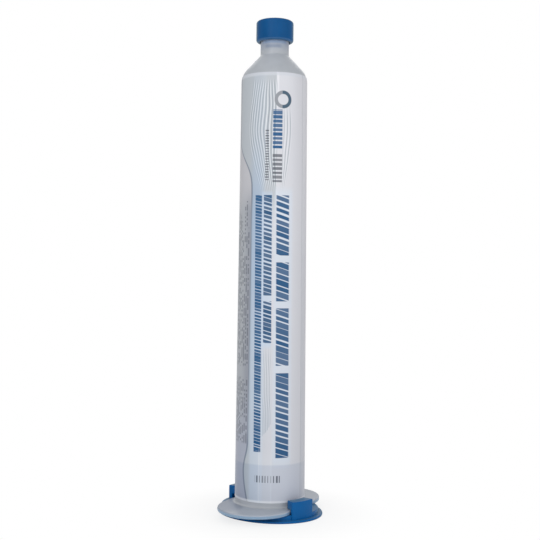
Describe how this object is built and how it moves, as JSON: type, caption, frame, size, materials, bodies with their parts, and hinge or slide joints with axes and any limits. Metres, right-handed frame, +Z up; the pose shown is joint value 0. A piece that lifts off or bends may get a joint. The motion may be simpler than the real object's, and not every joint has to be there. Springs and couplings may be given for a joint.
{
  "type": "coral glue cartridge",
  "caption": "Slim tapered cartridge with an oval finger flange, a wrap-around label, a screw cap on a threaded spout, a sliding piston inside and a twist-on end cap with hooks.",
  "frame": {"origin": "centre of the end cap's underside, on the barrel's axis", "axes": "+Z up along the barrel to the screw cap, flange wings along +Y and -Y, flange flats facing +X and -X"},
  "size_m": [0.0394, 0.0468, 0.1764],
  "materials": {
    "clear_plastic": "frosted translucent polypropylene",
    "label_film": "satin film with printed colour fields",
    "glue": "thick clear gel",
    "piston_plastic": "soft white polyethylene",
    "blue_plastic": "satin moulded plastic",
    "liner_foam": "white sealing foam"
  },
  "bodies": {
    "barrel": {"barrel": "clear_plastic", "label": "label_film", "glue": "glue"},
    "piston": {"piston": "piston_plastic"},
    "cap_seal": {"cap_liner": "liner_foam"},
    "cap": {"screw_cap": "blue_plastic"},
    "end_cap": {"end_cap": "blue_plastic"}
  },
  "joints": [
    {"name": "piston_slide", "type": "slide", "parent": "barrel", "child": "piston", "axis": [0, 0, 1], "range_m": [0, 0.138], "deforming": ["glue"]},
    {"name": "cap_lift", "type": "slide", "parent": "barrel", "child": "cap_seal", "axis": [0, 0, 1], "range_m": [0, 0.006]},
    {"name": "cap_turn", "type": "hinge", "parent": "cap_seal", "child": "cap", "pos_m": [0, 0, 0.1687], "axis": [0, 0, 1], "range_deg": [0, 1080]},
    {"name": "end_cap_twist", "type": "hinge", "parent": "barrel", "child": "end_cap", "pos_m": [0, 0, 0], "axis": [0, 0, 1], "range_deg": [0, 20]}
  ],
  "couplings": [
    {"joint": "cap_turn", "follows": "cap_lift", "rad_per_m": 3141.6}
  ]
}
